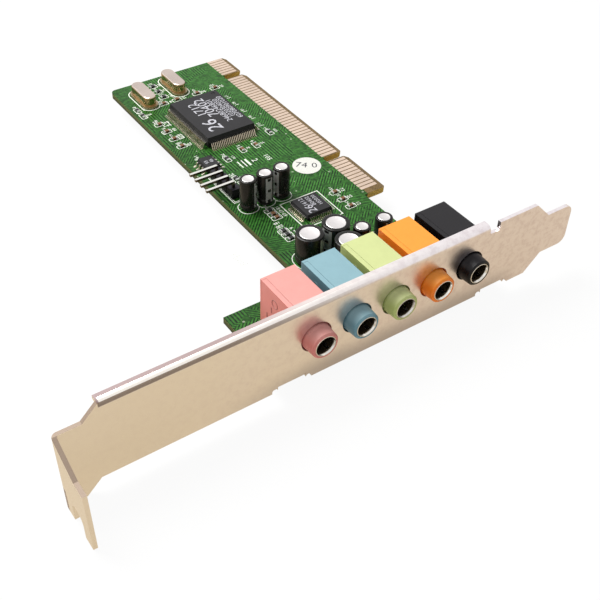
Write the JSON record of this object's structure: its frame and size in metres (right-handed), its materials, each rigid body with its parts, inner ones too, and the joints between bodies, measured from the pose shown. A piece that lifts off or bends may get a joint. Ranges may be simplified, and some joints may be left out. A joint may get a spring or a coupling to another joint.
{
  "type": "pci sound card",
  "caption": "Desktop computer sound card: green board with edge connector, chips and capacitors, a folded metal slot bracket and a row of coloured round audio jacks.",
  "frame": {"origin": "where the screw tab's outer face, the bracket's outer face and the bracket's lower long edge meet", "axes": "+X along the bracket from the screw tab to the tongue, +Y from the bracket back along the board, +Z out of the board's component side"},
  "size_m": [0.12, 0.1252, 0.0216],
  "materials": {
    "board": "green solder mask over fine copper traces with white print",
    "gold": "thin gold plating",
    "bracket_metal": "satin nickel plate",
    "screw_metal": "zinc plate",
    "jack_pink": "moulded",
    "jack_blue": "moulded",
    "jack_green": "moulded",
    "jack_orange": "moulded",
    "jack_black": "moulded",
    "plated_metal": "bright tin plate",
    "chip_plastic": "fine moulded texture",
    "header_plastic": "moulded",
    "can_metal": "drawn",
    "shrink_sleeve": "shrunk film with a grey polarity stripe",
    "bung_rubber": "moulded",
    "capacitor_ceramic": "fired",
    "resistor_black": "glazed",
    "sticker_paper": "paper label",
    "solder": "bright solder"
  },
  "bodies": {
    "root": {"bracket": "bracket_metal", "bracket_screws": "screw_metal", "capacitor_bungs": "bung_rubber", "capacitor_leads": "plated_metal", "chip_capacitors": "capacitor_ceramic", "chip_end_caps": "plated_metal", "chip_resistors": "resistor_black", "circuit_board": "board", "codec_chip_body": "chip_plastic", "codec_chip_leads": "plated_metal", "contacts_component_side": "gold", "contacts_solder_side": "gold", "crystal_bases": "can_metal", "crystal_cans": "can_metal", "crystal_leads": "plated_metal", "header_block": "header_plastic", "header_pins": "gold", "inspection_sticker": "sticker_paper", "jack_cover_black": "jack_black", "jack_cover_blue": "jack_blue", "jack_cover_green": "jack_green", "jack_cover_orange": "jack_orange", "jack_cover_pink": "jack_pink", "jack_housing_black": "jack_black", "jack_housing_blue": "jack_blue", "jack_housing_green": "jack_green", "jack_housing_orange": "jack_orange", "jack_housing_pink": "jack_pink", "jack_sleeves": "plated_metal", "jack_terminals": "plated_metal", "large_capacitor_cans": "can_metal", "large_capacitor_sleeves": "shrink_sleeve", "main_chip_body": "chip_plastic", "main_chip_leads": "plated_metal", "memory_chip_body": "chip_plastic", "memory_chip_leads": "plated_metal", "small_capacitor_cans": "can_metal", "small_capacitor_sleeves": "shrink_sleeve", "solder_joints": "solder", "tall_capacitor_cans": "can_metal", "tall_capacitor_sleeves": "shrink_sleeve"}
  },
  "joints": []
}
